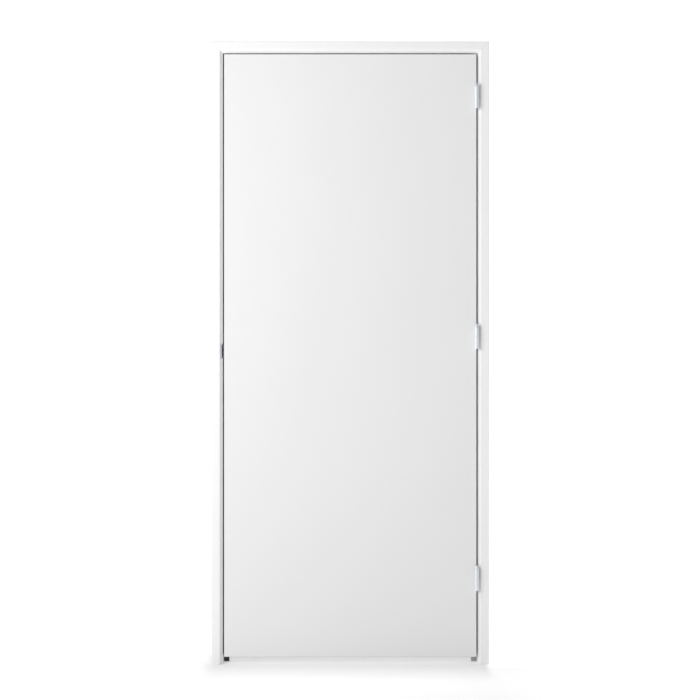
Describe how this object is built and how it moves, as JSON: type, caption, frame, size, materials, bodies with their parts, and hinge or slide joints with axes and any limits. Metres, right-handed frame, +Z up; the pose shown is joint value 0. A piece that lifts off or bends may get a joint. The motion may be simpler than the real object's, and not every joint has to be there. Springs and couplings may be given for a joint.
{
  "type": "prehung interior door",
  "caption": "White flush door leaf on lift-off hinges in a welded, folded-steel frame with bevelled inner edges, a rubber seal, a strike and wall anchors.",
  "frame": {"origin": "on the floor face of the hinge jamb's foot plate, at the middle of that jamb", "axes": "+Z up; +Y through the wall away from the pull side, which is where the leaf opens; the doorway runs from the origin towards -X"},
  "size_m": [0.94, 0.116, 2.11],
  "materials": {
    "frame_paint": "white stove enamel on folded steel, satin",
    "leaf_lacquer": "white lacquer on hardboard and softwood, smooth satin",
    "chipboard": "raw extruded chipboard",
    "softwood": "raw softwood",
    "zinc_plate": "bright zinc plating with a cool cast",
    "galvanised": "galvanised sheet",
    "seal_rubber": "matt brown-black rubber",
    "box_plastic": "dark moulded plastic",
    "ring_acetal": "off-white acetal"
  },
  "bodies": {
    "frame": {"hinge_jamb": "frame_paint", "latch_jamb": "frame_paint", "frame_head": "frame_paint", "hinge_side_seal": "seal_rubber", "latch_side_seal": "seal_rubber", "head_seal": "seal_rubber", "hinge_backing_plates": "galvanised", "hinge_side_wall_anchors": "galvanised", "latch_side_wall_anchors": "galvanised", "hinge_jamb_foot_plate": "galvanised", "latch_jamb_foot_plate": "galvanised", "strike_plate": "zinc_plate", "strike_box": "box_plastic", "top_hinge_frame_leaf": "zinc_plate", "top_hinge_pin": "zinc_plate", "top_hinge_ring": "ring_acetal", "middle_hinge_frame_leaf": "zinc_plate", "middle_hinge_pin": "zinc_plate", "middle_hinge_ring": "ring_acetal", "bottom_hinge_frame_leaf": "zinc_plate", "bottom_hinge_pin": "zinc_plate", "bottom_hinge_ring": "ring_acetal"},
    "leaf": {"leaf_front_skin": "leaf_lacquer", "leaf_back_skin": "leaf_lacquer", "hinge_stile": "leaf_lacquer", "latch_stile": "leaf_lacquer", "top_rail": "leaf_lacquer", "bottom_rail": "leaf_lacquer", "leaf_core": "chipboard", "lock_block": "softwood", "latch_case": "galvanised", "latch_faceplate": "zinc_plate", "latch_bolt": "zinc_plate", "top_hinge_door_leaf": "zinc_plate", "middle_hinge_door_leaf": "zinc_plate", "bottom_hinge_door_leaf": "zinc_plate"}
  },
  "joints": [
    {"name": "leaf_swing", "type": "hinge", "parent": "frame", "child": "leaf", "pos_m": [-0.015, -0.0585, 1.11], "axis": [0, 0, 1], "range_deg": [0, 170]}
  ]
}
